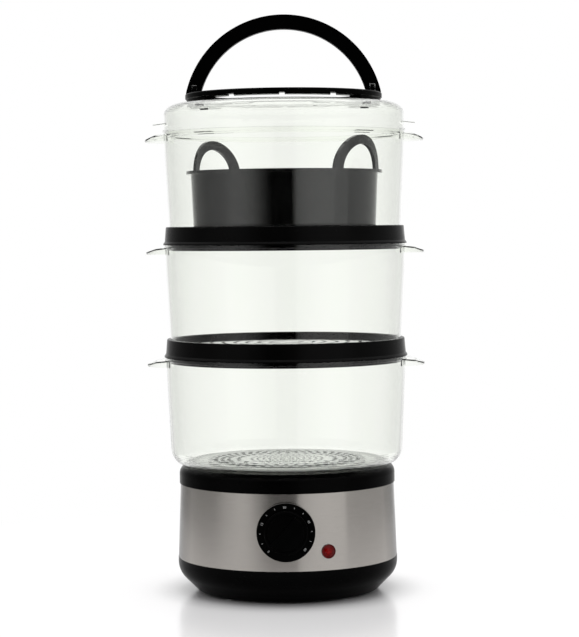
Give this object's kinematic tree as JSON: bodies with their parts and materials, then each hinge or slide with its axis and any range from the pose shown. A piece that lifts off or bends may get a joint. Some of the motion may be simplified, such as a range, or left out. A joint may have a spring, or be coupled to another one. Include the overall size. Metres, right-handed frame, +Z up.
{
  "type": "electric food steamer",
  "caption": "Electric food steamer: heated water base with a timer dial, stacked clear baskets on black rings, a rice bowl, and a clear lid with a folding carry handle.",
  "frame": {"origin": "on the table under the base's axis, at the bottom centre of the whole part", "axes": "+Z up along the stack, the timer dial faces -Y, the basket grips lie along X"},
  "size_m": [0.2624, 0.2296, 0.5424],
  "materials": {
    "gloss_black": "satin to gloss moulded plastic",
    "matte_black": "fine matte moulded plastic",
    "steel": "brushed round the base",
    "screw_steel": "zinc plated",
    "cast_aluminium": "cast, satin",
    "silicone": "smooth silicone",
    "foot_rubber": "matte",
    "clear_plastic": "clear polycarbonate, polished",
    "red_lens": "translucent red",
    "neon_holder": "moulded",
    "cream_plastic": "moulded",
    "white_plastic": "satin white, moulded",
    "wire": "silicone sleeved",
    "bell_brass": "pressed"
  },
  "bodies": {
    "base": {"rubber_feet": "foot_rubber", "bottom_cover": "matte_black", "lower_housing": "gloss_black", "steel_band": "steel", "water_tank": "gloss_black", "heating_plate": "cast_aluminium", "element_seal": "silicone", "heating_element": "screw_steel", "element_bracket": "screw_steel", "bracket_screws": "screw_steel", "thermostat": "cast_aluminium", "thermal_fuse": "cream_plastic", "terminal_block": "cream_plastic", "inner_leads": "wire", "timer_body": "cream_plastic", "timer_bell": "bell_brass", "timer_screws": "screw_steel", "dial_plate": "matte_black", "lamp_lens": "red_lens", "neon_lamp": "neon_holder", "cord_gland": "gloss_black", "base_screws": "screw_steel"},
    "knob": {"timer_knob": "matte_black", "timer_shaft": "screw_steel"},
    "steam_ring": {"steam_ring": "cream_plastic"},
    "drip_tray": {"drip_tray": "white_plastic"},
    "basket_1": {"basket_1_bowl": "clear_plastic", "basket_1_grid": "clear_plastic"},
    "basket_2": {"tier_ring_2": "gloss_black", "floor_grid_2": "matte_black", "basket_2_wall": "clear_plastic"},
    "basket_3": {"tier_ring_3": "gloss_black", "floor_grid_3": "matte_black", "basket_3_wall": "clear_plastic"},
    "rice_bowl": {"rice_bowl": "matte_black"},
    "lid": {"lid": "clear_plastic", "handle_ring": "gloss_black", "ring_rivets": "gloss_black"},
    "bail": {"bail_handle": "gloss_black", "bail_pins": "screw_steel"}
  },
  "joints": [
    {"name": "timer_turn", "type": "hinge", "parent": "base", "child": "knob", "pos_m": [0, -0.1045, 0.068], "axis": [0, 1, 0], "range_deg": [0, 270]},
    {"name": "steam_ring_lift", "type": "slide", "parent": "base", "child": "steam_ring", "axis": [0, 0, 1], "range_m": [0, 0.06]},
    {"name": "drip_tray_lift", "type": "slide", "parent": "steam_ring", "child": "drip_tray", "axis": [0, 0, 1], "range_m": [0, 0.06]},
    {"name": "basket_1_lift", "type": "slide", "parent": "drip_tray", "child": "basket_1", "axis": [0, 0, 1], "range_m": [0, 0.12]},
    {"name": "basket_2_lift", "type": "slide", "parent": "basket_1", "child": "basket_2", "axis": [0, 0, 1], "range_m": [0, 0.12]},
    {"name": "basket_3_lift", "type": "slide", "parent": "basket_2", "child": "basket_3", "axis": [0, 0, 1], "range_m": [0, 0.12]},
    {"name": "rice_bowl_lift", "type": "slide", "parent": "basket_3", "child": "rice_bowl", "axis": [0, 0, 1], "range_m": [0, 0.1]},
    {"name": "lid_lift", "type": "slide", "parent": "rice_bowl", "child": "lid", "axis": [0, 0, 1], "range_m": [0, 0.12]},
    {"name": "bail_fold", "type": "hinge", "parent": "lid", "child": "bail", "pos_m": [0, 0, 0.4728], "axis": [1, 0, 0], "range_deg": [-90, 90]}
  ]
}
